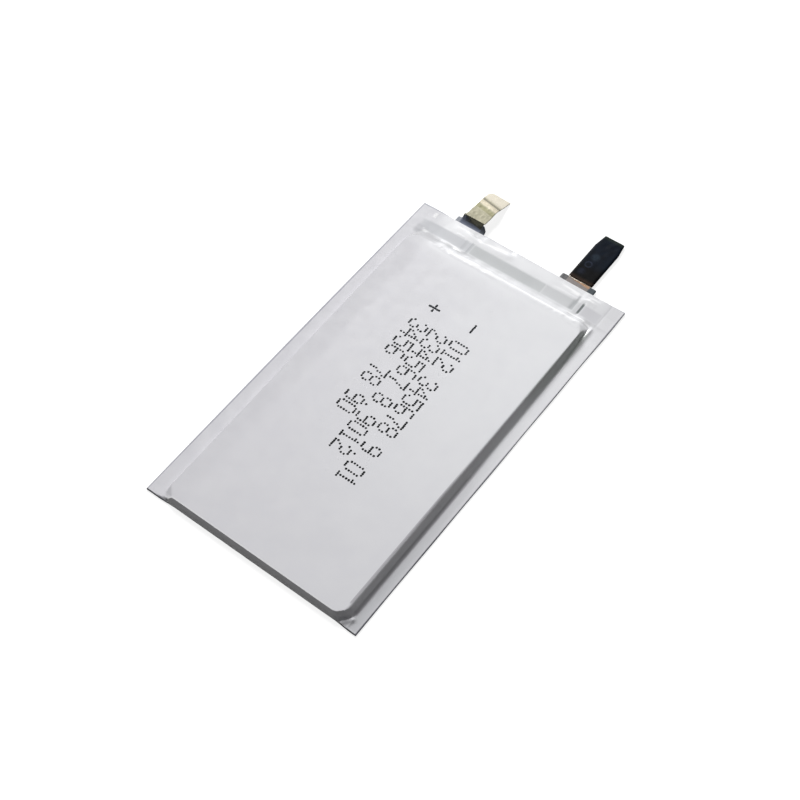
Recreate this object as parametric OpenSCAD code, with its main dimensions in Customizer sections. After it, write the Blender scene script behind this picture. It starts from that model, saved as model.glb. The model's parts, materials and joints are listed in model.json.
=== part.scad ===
// Lithium pouch cell: a flat stack of foil electrodes in a formed aluminium-laminate pouch.
// Frame: the origin is the centre of the flat back face, +Y points to the tabs, +Z out of
// the formed front face and +X to the negative tab. Millimetres.

/* [Electrode stack] */
// Width of the anodes, the widest plates
anode_w = 24; // [16:0.5:40]
// Length of the anodes, without their lugs
anode_l = 41.5; // [30:0.5:70]
// Corner radius of the anodes
plate_r = 1.1; // [0.6:0.1:3]
// How far each anode reaches past the cathodes, on every side
anode_over = 0.3; // [0.1:0.1:1]
// How far the separator reaches past the anodes, on every side
sep_over = 0.3; // [0.2:0.1:1]
// Thickness of the separator film
sep_t = 0.02; // [0.01:0.005:0.04]
// Thickness of the copper anode foil
anode_foil_t = 0.01; // [0.006:0.002:0.02]
// Thickness of the graphite coating on one side of an anode
anode_coat_t = 0.075; // [0.04:0.005:0.2]
// Thickness of the aluminium cathode foil
cathode_foil_t = 0.015; // [0.01:0.005:0.025]
// Thickness of the oxide coating on one side of a cathode
cathode_coat_t = 0.065; // [0.04:0.005:0.2]
// Width of each foil's lug
lug_w = 2.6; // [1.5:0.1:5]
// Length over which the lugs are welded flat to a lead
weld_l = 1.2; // [0.8:0.1:3]
// Length over which the lugs run from the stack down to a lead
lug_run = 0.9; // [0.5:0.1:3]
// Gap between the lug welds and the pocket's top wall
weld_clear = 0.1; // [0.1:0.1:2]

/* [Stack tapes] */
// Thickness of the tapes that hold the stack
tape_t = 0.02; // [0.01:0.005:0.05]
// Width of each stack tape, along the edge that it wraps
tape_w = 8; // [4:0.5:15]
// How far each stack tape reaches over the flat of the stack
tape_reach = 4; // [2:0.5:8]
// Clearance between a wrapped tape or fold and the edge beside it
tape_clear = 0.02; // [0.01:0.01:0.1]

/* [Pouch film] */
// Thickness of the laminate film
film_t = 0.11; // [0.07:0.01:0.16]
// Clearance from the stack's sides to the flat of the pocket
side_clear = 0.1; // [0.06:0.02:0.5]
// Gap between the stack and the pocket's bottom wall
bottom_clear = 0.3; // [0.2:0.1:1.5]
// Slope length of the pocket's side walls
side_run = 0.95; // [0.6:0.05:2]
// Slope length of the pocket's bottom wall
bottom_run = 0.49; // [0.4:0.05:2]
// Slope length of the pocket's top wall
top_run = 1.4; // [0.8:0.1:3]
// Width of the sealed flange at each side
side_flange = 1.4; // [0.8:0.1:4]
// Length of the header, from the pocket to the top edge
header_l = 3.4; // [2.8:0.1:8]
// Corner radius of the pocket's flat face
pocket_r = 1.5; // [0.8:0.1:3]
// Corner radius of the pocket where it meets the flange
foot_r = 2.3; // [1:0.1:5]
// Length of the pressed seal band along the top edge
seal_band_l = 1.8; // [1:0.1:4]
// Depth that the seal bar presses into the film
seal_press = 0.02; // [0.01:0.01:0.04]

/* [Leads] */
// Distance from the anodes' side edge to the centre line of each lead
tab_inset = 4.15; // [2.8:0.05:4.5]
// Width of both leads
lead_w = 3; // [2:0.1:6]
// Thickness of both leads
lead_t = 0.1; // [0.06:0.01:0.2]
// Length of the negative lead outside the film
neg_lead_out = 6.1; // [3:0.1:15]
// How far the positive lead stands up at its kink
kink_h = 0.61; // [0.4:0.01:1]
// Steepness of the positive lead's rise to the kink, in degrees
rise_angle = 41; // [35:1:80]
// Downward slope of the positive lead after the kink, in degrees
tab_slope = 6.2; // [2:0.1:8]
// Length of the aluminium lead after the kink
pos_lead_end = 3; // [2:0.1:4]

/* [Nickel strip] */
// Width of the strip welded on the positive lead
strip_w = 3; // [2:0.1:5]
// Thickness of the strip
strip_t = 0.1; // [0.05:0.01:0.15]
// Length of the strip
strip_l = 5.15; // [4.6:0.05:6]
// Distance from the kink to the bend near the strip's tip
strip_bend_l = 4.1; // [3:0.1:4.4]
// Angle of the bend near the tip, in degrees
strip_bend = 15; // [0:1:18]
// How far the strip sits off the lead's centre line
strip_offset = 0.15; // [0:0.05:0.4]
// How far the strip is turned on the lead, in degrees
strip_skew = 1.5; // [0:0.5:5]
// Size of the corner cut off the strip's tip
strip_chamfer = 0.5; // [0.2:0.1:1]
// Radius of the spot-weld dimples
spot_r = 0.25; // [0.15:0.05:0.5]
// Depth of the spot-weld dimples
spot_depth = 0.02; // [0.01:0.01:0.04]
// Distance between the spot-weld dimples
spot_pitch = 1.3; // [1:0.1:2]

/* [Tab seals] */
// Width of the sealant strips on the positive lead
pos_sealant_w = 4.3; // [3.6:0.1:8]
// Width of the sealant strips on the negative lead
neg_sealant_w = 4.8; // [3.6:0.1:8]
// Thickness of each sealant strip over the lead
sealant_t = 0.06; // [0.03:0.01:0.1]
// Length of the sealant strips inside the film
sealant_in = 3.3; // [2.4:0.1:6]
// Length of the sealant strips outside the film
sealant_out = 0.75; // [0.65:0.05:2]
// Length of the positive sealant that climbs its lead's rise
sealant_climb = 0.4; // [0.1:0.05:0.5]
// Width of the ramp down each side of the film's bulge over a sealant
bulge_ramp = 0.35; // [0.2:0.05:1]
// Width of the tapes over the lug welds
weld_tape_w = 4; // [3.2:0.1:8]
// How far the weld tapes reach past the lugs' ends
weld_tape_over = 0.3; // [0.1:0.1:0.6]

/* [Insulating sleeve] */
// Wall thickness of the sleeve
sleeve_wall = 0.12; // [0.05:0.01:0.12]
// Running clearance between the sleeve and the lead
sleeve_clear = 0.03; // [0.01:0.01:0.1]
// Gap between the sleeve's near end and the sealant
sleeve_gap = 0.1; // [0.05:0.05:1]
// Length of the sleeve's parallel part
sleeve_l = 5.65; // [4:0.05:15]
// Length of the shrunk mouth past the lead's end
mouth_l = 1.75; // [0.5:0.05:4]
// Width of the shrunk mouth as a share of the sleeve's width
mouth_taper = 0.82; // [0.6:0.01:1]

/* [Hidden] */

// Number of segments in one rounded pocket corner, and of rings up the pocket's wall
corner_steps = 6;
wall_steps = 9;
// Extra reach of a cutting body past the surface that it opens
cut = 1;
// Overlap of two cutting bodies that open one hollow
overlap = 0.001;

// The plates from back to front: anode, cathode, anode, cathode, anode.
outer_anode_t = anode_foil_t + anode_coat_t;
middle_anode_t = anode_foil_t + 2 * anode_coat_t;
cathode_t = cathode_foil_t + 2 * cathode_coat_t;
plate_t = [outer_anode_t, cathode_t, middle_anode_t, cathode_t, outer_anode_t];
function total(list, n) = n == 0 ? 0 : list[n - 1] + total(list, n - 1);
function sep_z(i) = film_t + tape_t + i * sep_t + total(plate_t, i);
function plate_z(i) = sep_z(i) + sep_t;

cathode_w = anode_w - 2 * anode_over;
cathode_r = plate_r - anode_over;
sep_r = plate_r + sep_over;
sep_w = anode_w + 2 * sep_over;
sep_l = anode_l + 2 * sep_over;
stack_top_z = sep_z(5) + sep_t;
cell_t = stack_top_z + tape_t + film_t;

// The pocket and the film around it, worked out from the stack.
pocket_w = sep_w + 2 * side_clear;
foot_w = pocket_w + 2 * side_run;
film_w = foot_w + 2 * side_flange;
film_l = film_t + bottom_run + bottom_clear + sep_l
    + lug_run + weld_l + weld_clear + top_run + header_l;
film_y0 = -film_l / 2;
film_y1 = film_l / 2;
foot_y0 = film_y0 + film_t;
pocket_y0 = foot_y0 + bottom_run;
sep_y0 = pocket_y0 + bottom_clear;
sep_y1 = sep_y0 + sep_l;
anode_y0 = sep_y0 + sep_over;
cathode_y0 = anode_y0 + anode_over;
cathode_l = anode_l - 2 * anode_over;
foot_y1 = film_y1 - header_l;
pocket_y1 = foot_y1 - top_run;

// Heights in the header: film, sealant, lead, sealant, film.
flange_z = 2 * film_t;
lead_z = film_t + sealant_t;
lead_top_z = lead_z + lead_t;
sealant_split_z = lead_z + lead_t / 2;
sealant_top_z = lead_top_z + sealant_t;
tab_x = anode_w / 2 - tab_inset;
weld_y0 = sep_y1 + lug_run;
weld_y1 = weld_y0 + weld_l;
sealant_y0 = film_y1 - sealant_in;
sealant_y1 = film_y1 + sealant_out;
neg_lead_y1 = film_y1 + neg_lead_out;

// The positive lead's path along its lower face, as [y, z].
rise_y = sealant_y1 - sealant_climb;
kink = [rise_y + kink_h / tan(rise_angle), lead_z + kink_h];
slope_dir = [cos(tab_slope), -sin(tab_slope)];
pos_lead_path = [[weld_y0, lead_z], [rise_y, lead_z], kink, kink + pos_lead_end * slope_dir];
strip_root = kink + lead_t * mitre(pos_lead_path, 2);

// The part of each lead's path that its sealant covers.
climb = sealant_climb * [cos(rise_angle), sin(rise_angle)];
pos_sealant_path = [[sealant_y0, lead_z], [rise_y, lead_z], [rise_y, lead_z] + climb];
neg_sealant_path = [[sealant_y0, lead_z], [sealant_y1, lead_z]];

// The nickel strip's path along its lower face, in the plane of the sloping lead.
strip_tip = (strip_l - strip_bend_l) * [cos(strip_bend), -sin(strip_bend)];
strip_path = [[0, 0], [strip_bend_l, 0], [strip_bend_l, 0] + strip_tip];
chamfer_cut = strip_chamfer * sqrt(2);

// The sleeve's outer and inner section.
sleeve_y0 = sealant_y1 + sleeve_gap;
sleeve_in_w = lead_w + 2 * sleeve_clear;
sleeve_in_t = lead_t + 2 * sleeve_clear;
sleeve_w = sleeve_in_w + 2 * sleeve_wall;
sleeve_t = sleeve_in_t + 2 * sleeve_wall;

// ---- Shared shapes ----

function unit(v) = v / norm(v);
function left_normal(a, b) = let (d = unit(b - a)) [-d[1], d[0]];
function side_normal(path, i) = left_normal(path[i], path[i + 1]);
// Offset of one unit to the left of a path at its point i, with mitred corners
function mitre(path, i) =
    i == 0 ? side_normal(path, 0) :
    i == len(path) - 1 ? side_normal(path, i - 1) :
    let (a = side_normal(path, i - 1), b = side_normal(path, i)) (a + b) / (1 + a * b);

function offset_path(path, d) = [for (i = [0:len(path) - 1]) path[i] + d * mitre(path, i)];
// The same path, made longer at both ends
function lengthened(path, d) =
    let (last = len(path) - 1)
        [for (i = [0:last])
            i == 0 ? path[0] - d * unit(path[1] - path[0]) :
            i == last ? path[last] + d * unit(path[last] - path[last - 1]) :
            path[i]];

// A bent strip of thickness t and width w: path holds the [y, z] points of its lower face
module bent_strip(path, t, w) {
    last = len(path) - 1;
    above = offset_path(path, t);
    upper = [for (i = [last:-1:0]) above[i]];
    rotate([90, 0, 90])
        linear_extrude(w, center = true)
            polygon(concat(path, upper));
}

// A plate centred on X, between two places along Y
module plate(w, y0, y1, z, t) {
    translate([-w / 2, y0, z]) cube([w, y1 - y0, t]);
}

// The same plate with round corners
module rounded_plate(w, y0, y1, z, t, r) {
    plate(w - 2 * r, y0, y1, z, t);
    plate(w, y0 + r, y1 - r, z, t);
    for (x = [r - w / 2, w / 2 - r], y = [y0 + r, y1 - r])
        translate([x, y, z]) cylinder(r = r, h = t, $fn = 32);
}

// The points of one rounded rectangle at height z
function rounded_ring(x, y0, y1, r, z) = [
    for (corner = [[x - r, y1 - r, 0], [r - x, y1 - r, 90], [r - x, y0 + r, 180], [x - r, y0 + r, 270]])
        for (k = [0:corner_steps])
            let (a = corner[2] + 90 * k / corner_steps)
                [corner[0] + r * cos(a), corner[1] + r * sin(a), z]
];

// A closed solid lofted through rings that all have the same number of points
module loft(rings) {
    n = len(rings[0]);
    last = len(rings) - 1;
    sides = [
        for (i = [0:last - 1]) for (k = [0:n - 1])
            let (a = i * n + k, b = i * n + (k + 1) % n)
                each [[a, a + n, b + n], [a, b + n, b]]
    ];
    bottom = [for (k = [0:n - 1]) k];
    top = [for (k = [n - 1:-1:0]) last * n + k];
    polyhedron(points = [for (ring = rings) each ring], faces = concat(sides, [bottom, top]), convexity = 4);
}

// Rings up the pocket's wall. The wall is an S-curve with a soft foot and a soft shoulder,
// and depth sets the surface back from the outer face, along the wall's normal.
function wall_slope(t) = atan(6 * (cell_t - flange_z) / side_run * t * (1 - t));
function wall_rise(t) = flange_z + (cell_t - flange_z) * (3 * t * t - 2 * t * t * t);
function wall_ring(t, depth) =
    let (in = depth * sin(wall_slope(t)))
        rounded_ring(
            foot_w / 2 - side_run * t - in,
            foot_y0 + bottom_run * t + in,
            foot_y1 - top_run * t - in,
            foot_r + (pocket_r - foot_r) * t,
            wall_rise(t) - depth * cos(wall_slope(t))
        );
function foot_ring(z) = rounded_ring(foot_w / 2, foot_y0, foot_y1, foot_r, z);

// The pocket as a solid body, either its outer face or, with depth film_t, its hollow
module pocket_body(depth, base_z) {
    loft(concat([foot_ring(base_z)], [for (i = [0:wall_steps]) wall_ring(i / wall_steps, depth)]));
}

// The film's bulge over one pair of sealant strips
module sealant_bulge(w) {
    y0 = (pocket_y1 + foot_y1) / 2;
    hull() {
        plate(w + 2 * (film_t + bulge_ramp), y0, film_y1, film_t, film_t);
        plate(w + film_t, y0, film_y1, sealant_top_z, film_t);
    }
}

// The room that one pair of sealant strips takes up under the film
module sealant_room(w) {
    plate(w, (pocket_y1 + foot_y1) / 2, film_y1 + cut, film_t - cut, sealant_top_z - film_t + cut);
}

// ---- Pouch ----

module front_film() {
    color("gainsboro")
    difference() {
        union() {
            plate(film_w, foot_y0, film_y1, film_t, film_t);
            pocket_body(0, film_t);
            translate([-tab_x, 0, 0]) sealant_bulge(pos_sealant_w);
            translate([tab_x, 0, 0]) sealant_bulge(neg_sealant_w);
        }
        pocket_body(film_t, film_t - cut);
        translate([-tab_x, 0, 0]) sealant_room(pos_sealant_w);
        translate([tab_x, 0, 0]) sealant_room(neg_sealant_w);
        seal_bar_press();
    }
}

// The seal bar's print along the top edge, one step lower over the flange and over each bulge
module seal_bar_press() {
    y0 = film_y1 - seal_band_l;
    plate(film_w + 2 * cut, y0, film_y1 + cut, sealant_top_z + film_t - seal_press, cut);
    difference() {
        plate(film_w + 2 * cut, y0, film_y1 + cut, flange_z - seal_press, seal_press);
        for (side = [[-tab_x, pos_sealant_w], [tab_x, neg_sealant_w]])
            translate([side[0], 0, 0])
                plate(side[1] + 2 * (film_t + bulge_ramp), y0 - cut, film_y1 + 2 * cut, 0, cut);
    }
}

// The flat half of the folded sheet, with the fold itself along the bottom edge
module back_film() {
    color("silver")
    rotate([90, 0, 90])
        linear_extrude(film_w, center = true) {
            translate([foot_y0, 0]) square([film_y1 - foot_y0, film_t]);
            intersection() {
                translate([foot_y0, film_t]) circle(film_t, $fn = 32);
                translate([film_y0, 0]) square([film_t, flange_z]);
            }
        }
}

// ---- Electrode stack ----

// One long film folded to and fro between the plates, drawn as its section and extruded along Y
module separator() {
    color("white")
    intersection() {
        translate([0, sep_y1, 0])
            rotate([90, 0, 0])
                linear_extrude(sep_l)
                    separator_section();
        rounded_plate(sep_w, sep_y0, sep_y1, 0, cell_t, sep_r);
    }
}

function fold_r(i) = (sep_z(i + 1) + sep_t - sep_z(i)) / 2;

module separator_section() {
    for (i = [0:5]) {
        right_r = i % 2 == 0 ? fold_r(i) : fold_r(i - 1);
        left_r = i == 0 || i == 5 ? 0 : i % 2 == 1 ? fold_r(i) : fold_r(i - 1);
        translate([left_r - sep_w / 2, sep_z(i)])
            square([sep_w - left_r - right_r, sep_t]);
    }
    for (i = [0:4])
        mirror([i % 2, 0])
            translate([sep_w / 2 - fold_r(i), sep_z(i) + fold_r(i)])
                half_ring(fold_r(i));
}

module half_ring(r) {
    difference() {
        circle(r, $fn = 32);
        circle(r - sep_t, $fn = 32);
        translate([-2 * r, -r]) square(2 * r);
    }
}

// A foil with its lug, which runs from the plate to lie on a lead at height lug_z
module foil(w, y0, l, r, z, t, x, lug_z) {
    rounded_plate(w, y0, y0 + l, z, t, r);
    path = [[y0 + l - r, z], [sep_y1, z], [weld_y0, lug_z], [weld_y1, lug_z]];
    translate([x, 0, 0]) bent_strip(path, t, lug_w);
}

module cathode_foil(i, order) {
    color("lightgray")
    foil(cathode_w, cathode_y0, cathode_l, cathode_r, plate_z(i) + cathode_coat_t, cathode_foil_t,
        -tab_x, lead_top_z + order * cathode_foil_t);
}

module cathode_coating(i) {
    color("dimgray")
    for (z = [plate_z(i), plate_z(i) + cathode_coat_t + cathode_foil_t])
        rounded_plate(cathode_w, cathode_y0, cathode_y0 + cathode_l, z, cathode_coat_t, cathode_r);
}

module anode_foil(z, order) {
    color("peru")
    foil(anode_w, anode_y0, anode_l, plate_r, z, anode_foil_t,
        tab_x, lead_top_z + order * anode_foil_t);
}

module anode_coating(levels) {
    color("darkslategray")
    for (z = levels)
        rounded_plate(anode_w, anode_y0, anode_y0 + anode_l, z, anode_coat_t, plate_r);
}

module lower_cathode_foil() { cathode_foil(1, 0); }
module upper_cathode_foil() { cathode_foil(3, 1); }
module lower_cathode_coating() { cathode_coating(1); }
module upper_cathode_coating() { cathode_coating(3); }

// The outer anodes carry a coating only on the face towards a cathode.
module lower_anode_foil() { anode_foil(plate_z(0), 0); }
module middle_anode_foil() { anode_foil(plate_z(2) + anode_coat_t, 1); }
module upper_anode_foil() { anode_foil(plate_z(4) + anode_coat_t, 2); }
module lower_anode_coating() { anode_coating([plate_z(0) + anode_foil_t]); }
module middle_anode_coating() {
    anode_coating([plate_z(2), plate_z(2) + anode_coat_t + anode_foil_t]);
}
module upper_anode_coating() { anode_coating([plate_z(4)]); }

// A tape wrapped round one edge of the stack: edge is how far that edge lies from the origin
module stack_tape(edge) {
    color("khaki")
    difference() {
        translate([edge - tape_reach, -tape_w / 2, film_t])
            cube([tape_reach + tape_clear + tape_t, tape_w, stack_top_z + tape_t - film_t]);
        translate([edge - tape_reach - cut, -tape_w / 2 - cut, film_t + tape_t])
            cube([tape_reach + tape_clear + cut, tape_w + 2 * cut, stack_top_z - film_t - tape_t]);
    }
}

module left_stack_tape() { translate([0, (sep_y0 + sep_y1) / 2, 0]) rotate(180) stack_tape(sep_w / 2); }
module right_stack_tape() { translate([0, (sep_y0 + sep_y1) / 2, 0]) stack_tape(sep_w / 2); }
module bottom_stack_tape() { rotate(-90) stack_tape(-sep_y0); }

// ---- Leads ----

module positive_lead() {
    color("lightsteelblue")
    translate([-tab_x, 0, 0]) bent_strip(pos_lead_path, lead_t, lead_w);
}

// Nickel takes solder and aluminium doesn't, so this strip is spot-welded on the positive lead
module positive_nickel_strip() {
    color("wheat")
    translate([-tab_x, strip_root[0], strip_root[1]])
        rotate([-tab_slope, 0, 0])
            translate([strip_offset, 0, 0])
                rotate(-strip_skew)
                    difference() {
                        bent_strip(strip_path, strip_t, strip_w);
                        translate([-strip_w / 2, strip_bend_l + strip_tip[0], 0])
                            rotate(45)
                                cube([chamfer_cut, chamfer_cut, 4 * cut], center = true);
                        spot_welds(strip_t);
                    }
}

// Four dimples in the face at height z, over the overlap of strip and lead
module spot_welds(z) {
    for (x = [-1, 1], y = [0, 1])
        translate([x * spot_pitch / 2, pos_lead_end / 2 + (y - 0.5) * spot_pitch, z - spot_depth])
            cylinder(r = spot_r, h = cut, $fn = 24);
}

module negative_lead() {
    color("wheat")
    translate([tab_x, 0, 0]) plate(lead_w, weld_y0, neg_lead_y1, lead_z, lead_t);
}

// Half of the sealant round a lead, which starts depth below the lead's lower face. The two halves
// melt together beside the lead.
module sealant_half(path, w, depth) {
    difference() {
        bent_strip(offset_path(path, -depth), sealant_t + lead_t / 2, w);
        bent_strip(lengthened(path, cut), lead_t, lead_w);
    }
}

module positive_sealant(depth) {
    color("slategray") translate([-tab_x, 0, 0]) sealant_half(pos_sealant_path, pos_sealant_w, depth);
}
module negative_sealant(depth) {
    color("rosybrown") translate([tab_x, 0, 0]) sealant_half(neg_sealant_path, neg_sealant_w, depth);
}
module positive_sealant_front() { positive_sealant(-lead_t / 2); }
module positive_sealant_back() { positive_sealant(sealant_t); }
module negative_sealant_front() { negative_sealant(-lead_t / 2); }
module negative_sealant_back() { negative_sealant(sealant_t); }

// A tape that covers a lug weld on one face of a lead
module weld_tape(x, z) {
    color("khaki") translate([x, 0, 0]) plate(weld_tape_w, weld_y0, weld_y1 + weld_tape_over, z, tape_t);
}

module positive_weld_tape_front() { weld_tape(-tab_x, lead_top_z + 2 * cathode_foil_t); }
module positive_weld_tape_back() { weld_tape(-tab_x, lead_z - tape_t); }
module negative_weld_tape_front() { weld_tape(tab_x, lead_top_z + 3 * anode_foil_t); }
module negative_weld_tape_back() { weld_tape(tab_x, lead_z - tape_t); }

// ---- Insulating sleeve on the negative lead ----

// A flattened tube's section with round edges
module flat_tube_section(w, t) {
    square([w - t, t], center = true);
    for (side = [-1, 1]) translate([side * (w - t) / 2, 0]) circle(t / 2, $fn = 32);
}

module negative_sleeve() {
    color("black")
    translate([tab_x, sleeve_y0, sealant_split_z])
        rotate([-90, 0, 0])
            difference() {
                union() {
                    linear_extrude(sleeve_l) flat_tube_section(sleeve_w, sleeve_t);
                    translate([0, 0, sleeve_l])
                        linear_extrude(mouth_l, scale = mouth_taper) flat_tube_section(sleeve_w, sleeve_t);
                }
                translate([0, 0, -cut])
                    linear_extrude(sleeve_l + cut)
                        square([sleeve_in_w, sleeve_in_t], center = true);
                translate([0, 0, sleeve_l - overlap])
                    linear_extrude(mouth_l + 2 * overlap, scale = mouth_taper)
                        square([sleeve_in_w, sleeve_in_t], center = true);
            }
}

front_film();
back_film();
separator();
lower_cathode_foil();
upper_cathode_foil();
lower_cathode_coating();
upper_cathode_coating();
lower_anode_foil();
middle_anode_foil();
upper_anode_foil();
lower_anode_coating();
middle_anode_coating();
upper_anode_coating();
left_stack_tape();
right_stack_tape();
bottom_stack_tape();
positive_lead();
positive_nickel_strip();
negative_lead();
positive_sealant_front();
positive_sealant_back();
negative_sealant_front();
negative_sealant_back();
positive_weld_tape_front();
positive_weld_tape_back();
negative_weld_tape_front();
negative_weld_tape_back();
negative_sleeve();
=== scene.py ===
"""Looks of a thin lithium pouch cell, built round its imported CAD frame.

The film, leads, sealant and sleeve are finer meshes that stand for their CAD nodes, and the electrode stack
keeps its CAD meshes. Lengths are millimetres until a mesh, lamp or camera is made.
"""
import json
import math

import bpy
import numpy as np
from mathutils import Matrix, Vector


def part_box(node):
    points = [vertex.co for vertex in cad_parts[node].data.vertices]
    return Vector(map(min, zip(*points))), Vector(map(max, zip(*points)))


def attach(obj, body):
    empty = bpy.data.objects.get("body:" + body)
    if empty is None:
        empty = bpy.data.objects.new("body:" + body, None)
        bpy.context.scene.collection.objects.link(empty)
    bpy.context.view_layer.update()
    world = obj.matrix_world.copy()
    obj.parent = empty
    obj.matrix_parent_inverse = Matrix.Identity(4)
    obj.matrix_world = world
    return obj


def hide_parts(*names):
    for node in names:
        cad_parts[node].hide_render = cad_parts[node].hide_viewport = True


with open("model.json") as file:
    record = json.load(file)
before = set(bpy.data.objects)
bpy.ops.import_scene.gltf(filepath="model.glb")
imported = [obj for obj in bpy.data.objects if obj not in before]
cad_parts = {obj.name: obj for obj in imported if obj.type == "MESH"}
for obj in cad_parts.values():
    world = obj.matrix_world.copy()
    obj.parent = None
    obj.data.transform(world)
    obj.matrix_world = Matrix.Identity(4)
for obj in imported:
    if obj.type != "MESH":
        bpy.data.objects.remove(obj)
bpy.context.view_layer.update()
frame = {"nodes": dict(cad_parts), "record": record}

MM = 0.001


def box_mm(node):
    """Lowest and highest corner of a CAD node, in millimetres."""
    low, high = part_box(node)
    return np.array(low) / MM, np.array(high) / MM


def middle_x(node):
    low, high = box_mm(node)
    return (low[0] + high[0]) / 2


# ---- Sizes taken from the frame ----

FRONT_LOW, FRONT_HIGH = box_mm("front_film")
FOLD_Y = box_mm("back_film")[0][1]
FILM_T = FRONT_LOW[2]
FLANGE_Z = 2 * FILM_T
FACE_Z = FRONT_HIGH[2]
HALF_W = FRONT_HIGH[0]
TOP_Y = FRONT_HIGH[1]
SEALANTS = [box_mm("positive_sealant_back"), box_mm("negative_sealant_back")]

# ---- Sizes of the formed pocket ----

SIDE_FLANGE = 1.4
# Where the pocket's sides lie, at places along Y
LEFT_SHOULDER = ((-24, -4, 12, 20), (-12.42, -12.6, -12.8, -12.82))
LEFT_RUN = 0.36
RIGHT_SHOULDER = ((-22, -14, 0, 20), (12.4, 12.36, 12.28, 12.28))
RIGHT_FOOT = ((-23, -14, -2, 6, 12, 15, 18.5, 21),
              (13.55, 13.52, 13.38, 13.32, 13.2, 13.02, 12.7, 12.6))
# X + Y and X - Y on the flat cuts across the two bottom corners, at shares of the wall's height
LEFT_CUT = ((0, 1), (-37.05, -35.6))
RIGHT_CUT = ((0, 0.4, 0.7, 1), (36.75, 36.7, 36.25, 36.17))
LEFT_CORNER_R = 1.0
RIGHT_CORNER_R = 1.2
TOP_CORNER_R = 1.3
BOTTOM_RUN = 0.42
TOP_RUN = 1.62
HEADER = 3.4
FOOT_R = 2.3
POCKET_R = 1.5
FOOT_X = HALF_W - SIDE_FLANGE
FOOT_Y0 = FOLD_Y + FILM_T
FOOT_Y1 = TOP_Y - HEADER
SHOULDER_Y = FOOT_Y1 - TOP_RUN
SEAL_BAND = 1.8
BAND_Y = TOP_Y - SEAL_BAND
# How far the top edge lies from its line, at places across the film
TOP_EDGE = ((-14.7, -13.5, -12, -10, -7, -5, 0, 5, 11, 13, 14.7),
            (0.08, 0.05, 0, -0.16, -0.14, -0.08, -0.1, -0.14, -0.16, -0.12, -0.04))
# Room left under the CAD box's top for the ink
SKIN = 0.006
WALL_H = FACE_Z - SKIN - FLANGE_Z


# ---- Number helpers ----


def smooth(u):
    """0 below 0, 1 above 1, and a soft S-curve between them."""
    u = np.clip(u, 0, 1)
    return u * u * (3 - 2 * u)


def soft_ramp(u, ends):
    """A ramp from 0 to 1, rounded over that share of it at both ends."""
    u = np.clip(u, 0, 1)
    low = u * u / (2 * ends)
    high = (1 - ends) - (1 - u) ** 2 / (2 * ends)
    return np.where(u < ends, low, np.where(u > 1 - ends, high, u - ends / 2)) / (1 - ends)


def hill(u, centre, width):
    return np.exp(-(((u - centre) / width) ** 2))


def window(u, low, high, edge):
    """1 from low to high, with soft edges outside them."""
    return smooth((u - low) / edge + 1) * smooth((high - u) / edge + 1)


def ripples(x, y, seed, size, count=14):
    """Smooth random waves of about that size, roughly from -1 to 1."""
    draw = np.random.default_rng(seed)
    total = np.zeros(np.broadcast(x, y).shape)
    for _ in range(count):
        angle, phase = draw.uniform(0, 2 * math.pi, 2)
        rate = 2 * math.pi / size * draw.uniform(0.6, 1.5)
        total += np.cos(rate * (x * math.cos(angle) + y * math.sin(angle)) + phase)
    return total / math.sqrt(2 * count)


def on_line(x, y, x0, y0, x1, y1):
    """How far points lie along and off a line, and its length."""
    dx, dy = x1 - x0, y1 - y0
    length = math.hypot(dx, dy)
    return ((x - x0) * dx + (y - y0) * dy) / length, ((y - y0) * dx - (x - x0) * dy) / length, length


def crease(x, y, x0, y0, x1, y1, width, height):
    """A ridge along a line, or a groove if height is negative."""
    run, off, length = on_line(x, y, x0, y0, x1, y1)
    return height * hill(np.hypot(off, run - np.clip(run, 0, length)), 0, width)


def facet(x, y, x0, y0, x1, y1, width0, width1, slope):
    """A fold along a line, whose far side drops at that slope in degrees."""
    run, off, length = on_line(x, y, x0, y0, x1, y1)
    width = width0 + (width1 - width0) * np.clip(run / length, 0, 1)
    shape = 0.5 * width * smooth(off / 0.9 + 1) - width * soft_ramp(off / width, 0.15)
    return window(run, 0, length, 0.8) * math.tan(math.radians(slope)) * shape


def spaced(*runs):
    """Places along runs of (from, to, step)."""
    parts = [np.linspace(a, b, max(2, round((b - a) / step) + 1))[:-1] for a, b, step in runs]
    return np.concatenate(parts + [[runs[-1][1]]])


# ---- Mesh helpers ----


def make_mesh(name, points, faces, sharp_angle=40):
    """A smooth-shaded mesh from points in millimetres."""
    mesh = bpy.data.meshes.new(name)
    mesh.from_pydata([tuple(p) for p in np.asarray(points) * MM], [], faces)
    mesh.shade_smooth()
    mesh.set_sharp_from_angle(angle=math.radians(sharp_angle))
    mesh.validate()
    return mesh


def grid_faces(rows, cols, start=0, flip=False, wrap=False):
    """Quads over a grid of points, which may wrap round its columns."""
    faces = []
    for i in range(rows - 1):
        for j in range(cols if wrap else cols - 1):
            a, b = start + i * cols + j, start + i * cols + (j + 1) % cols
            quad = [a, b, b + cols, a + cols]
            faces.append(quad[::-1] if flip else quad)
    return faces


def sheet_mesh(name, top, under):
    """A closed sheet between two grids of points of the same shape."""
    rows, cols = top.shape[:2]
    count = rows * cols
    faces = grid_faces(rows, cols) + grid_faces(rows, cols, count, flip=True)
    rim = list(range(cols)) + [i * cols + cols - 1 for i in range(1, rows)]
    rim += [(rows - 1) * cols + j for j in range(cols - 2, -1, -1)]
    rim += [i * cols for i in range(rows - 2, 0, -1)]
    faces += [[a, a + count, b + count, b] for a, b in zip(rim, rim[1:] + rim[:1])]
    return make_mesh(name, np.concatenate([top.reshape(-1, 3), under.reshape(-1, 3)]), faces)


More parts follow.
